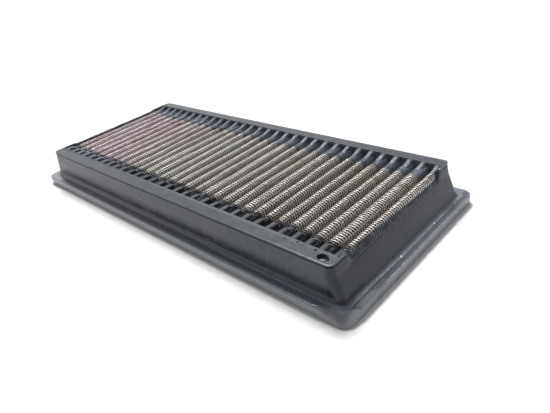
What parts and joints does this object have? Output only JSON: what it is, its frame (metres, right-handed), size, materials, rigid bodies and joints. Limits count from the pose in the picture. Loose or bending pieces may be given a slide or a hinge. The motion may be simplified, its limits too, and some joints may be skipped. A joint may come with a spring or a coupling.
{
  "type": "panel air filter",
  "caption": "Flat rectangular drop-in air filter with a moulded sealing flange around a pleated wire-and-gauze pack.",
  "frame": {"origin": "centre of the flange's flat underside", "axes": "+X along the filter's length, +Y across it along the pleats, +Z from the flange towards the rim"},
  "size_m": [0.302, 0.131, 0.0272],
  "materials": {
    "moulded_urethane": "satin dark slate moulded skin, scuffed along its edges",
    "potting_urethane": "glossier black where it has soaked into the pleats' ends",
    "aluminium_wire": "coated woven wire, dulled by dust and oil",
    "oiled_cotton": "coarse gauze, faded red oil and grey dirt"
  },
  "bodies": {
    "root": {"urethane_frame": "moulded_urethane", "front_edge_potting": "potting_urethane", "rear_edge_potting": "potting_urethane", "upper_wire_screen": "aluminium_wire", "lower_wire_screen": "aluminium_wire", "cotton_gauze_ply_1": "oiled_cotton", "cotton_gauze_ply_2": "oiled_cotton", "cotton_gauze_ply_3": "oiled_cotton", "cotton_gauze_ply_4": "oiled_cotton"}
  },
  "joints": []
}
